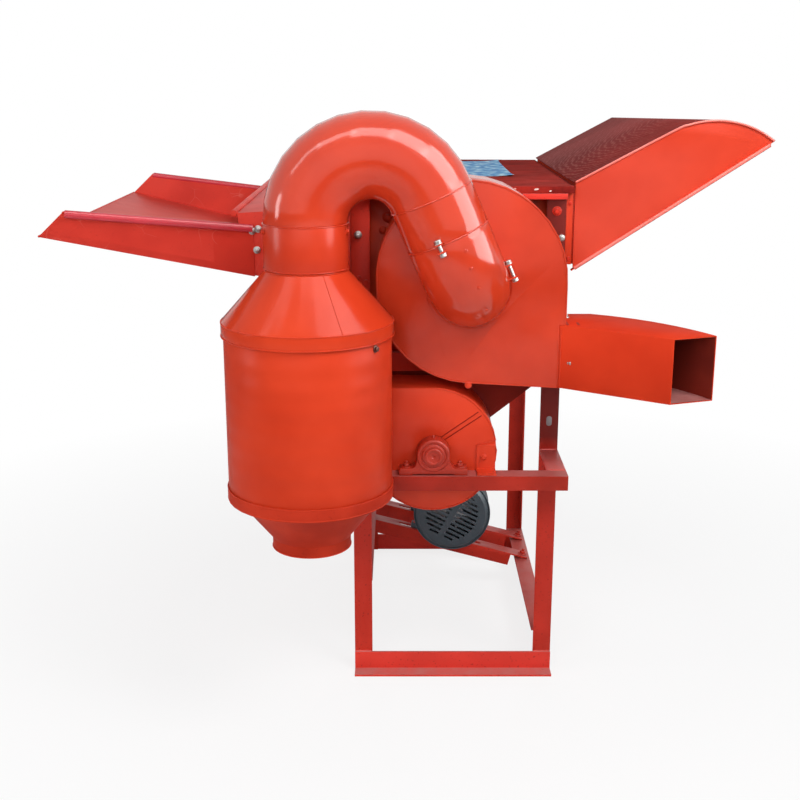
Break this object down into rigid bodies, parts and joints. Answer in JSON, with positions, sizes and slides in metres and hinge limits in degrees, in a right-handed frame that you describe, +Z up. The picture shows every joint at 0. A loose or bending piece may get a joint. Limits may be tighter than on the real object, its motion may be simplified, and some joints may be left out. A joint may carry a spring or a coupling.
{
  "type": "threshing machine",
  "caption": "Crop threshing machine: spike-tooth drum in a sheet body, feed tray, straw hood, suction fan with U duct, cyclone, grain blower and electric motor on an angle-iron frame.",
  "frame": {"origin": "middle of the foot of the whole machine's box, on the floor", "axes": "+X from the feed tray to the straw hood, +Y from the fan side to the belt side, +Z up"},
  "size_m": [1.4916, 1.2134, 1.2584],
  "materials": {
    "body_paint": "glossy sprayed enamel on folded sheet",
    "frame_paint": "sprayed enamel on rolled angle iron",
    "motor_paint": "satin machine paint on castings",
    "bare_steel": "turned, bare",
    "cast_iron": "rough cast with a worn skin",
    "belt_rubber": "dull fabric-covered rubber"
  },
  "bodies": {
    "machine": {"frame_post_front_left": "frame_paint", "frame_post_front_right": "frame_paint", "frame_post_rear_left": "frame_paint", "frame_post_rear_right": "frame_paint", "base_beam_front": "frame_paint", "base_beam_rear": "frame_paint", "side_rail_left": "frame_paint", "side_rail_right": "frame_paint", "top_rail_left": "frame_paint", "top_rail_right": "frame_paint", "top_rail_front": "frame_paint", "top_rail_rear": "frame_paint", "fan_rail": "frame_paint", "bearing_rail_rear": "frame_paint", "blower_rail": "frame_paint", "blower_rail_arm": "frame_paint", "motor_rail_front": "frame_paint", "motor_rail_rear": "frame_paint", "concave": "frame_paint", "body_front_wall": "body_paint", "body_rear_wall": "body_paint", "body_side_left": "body_paint", "body_side_right": "body_paint", "grain_hopper": "body_paint", "feed_throat": "body_paint", "throat_edge_bar": "body_paint", "feed_tray": "body_paint", "straw_hood_side_front": "body_paint", "straw_hood_side_rear": "body_paint", "straw_hood_top": "body_paint", "suction_fan_housing": "body_paint", "discharge_elbow": "body_paint", "suction_duct_bend": "body_paint", "suction_duct_elbow": "body_paint", "duct_collar": "body_paint", "cyclone_lid": "body_paint", "cyclone_body": "body_paint", "cyclone_cone": "body_paint", "vortex_finder": "body_paint", "blower_housing": "body_paint", "blower_bearing_front": "body_paint", "blower_bearing_rear": "body_paint", "motor_body": "motor_paint", "motor_fan_cover": "motor_paint", "motor_terminal_box": "motor_paint", "lid_hinge": "bare_steel", "drum_bearing_front": "cast_iron", "drum_bearing_rear": "cast_iron", "main_belt": "belt_rubber", "blower_belt": "belt_rubber"},
    "drum": {"drum_shaft": "bare_steel", "threshing_drum": "cast_iron", "suction_impeller": "cast_iron", "drum_pulley": "cast_iron"},
    "blower_rotor": {"blower_shaft": "bare_steel", "blower_impeller": "cast_iron", "blower_pulley": "cast_iron"},
    "motor_rotor": {"motor_shaft": "bare_steel", "motor_pulley": "cast_iron"},
    "lid": {"lid": "body_paint"}
  },
  "joints": [
    {"name": "drum_spin", "type": "hinge", "parent": "machine", "child": "drum", "pos_m": [0.11896, 0.1514, 0.916], "axis": [0, 1, 0], "continuous": true},
    {"name": "blower_spin", "type": "hinge", "parent": "machine", "child": "blower_rotor", "pos_m": [0.04846, 0.0764, 0.5723], "axis": [0, 1, 0], "continuous": true},
    {"name": "motor_spin", "type": "hinge", "parent": "machine", "child": "motor_rotor", "pos_m": [0.11246, 0.3664, 0.243], "axis": [0, 1, 0], "continuous": true},
    {"name": "lid_hinge", "type": "hinge", "parent": "machine", "child": "lid", "pos_m": [0.10096, 0.534, 1.0933], "axis": [-1, 0, 0], "range_deg": [0, 100]}
  ],
  "couplings": [
    {"joint": "blower_spin", "follows": "drum_spin", "ratio": 2.5},
    {"joint": "motor_spin", "follows": "drum_spin", "ratio": 2.1}
  ]
}
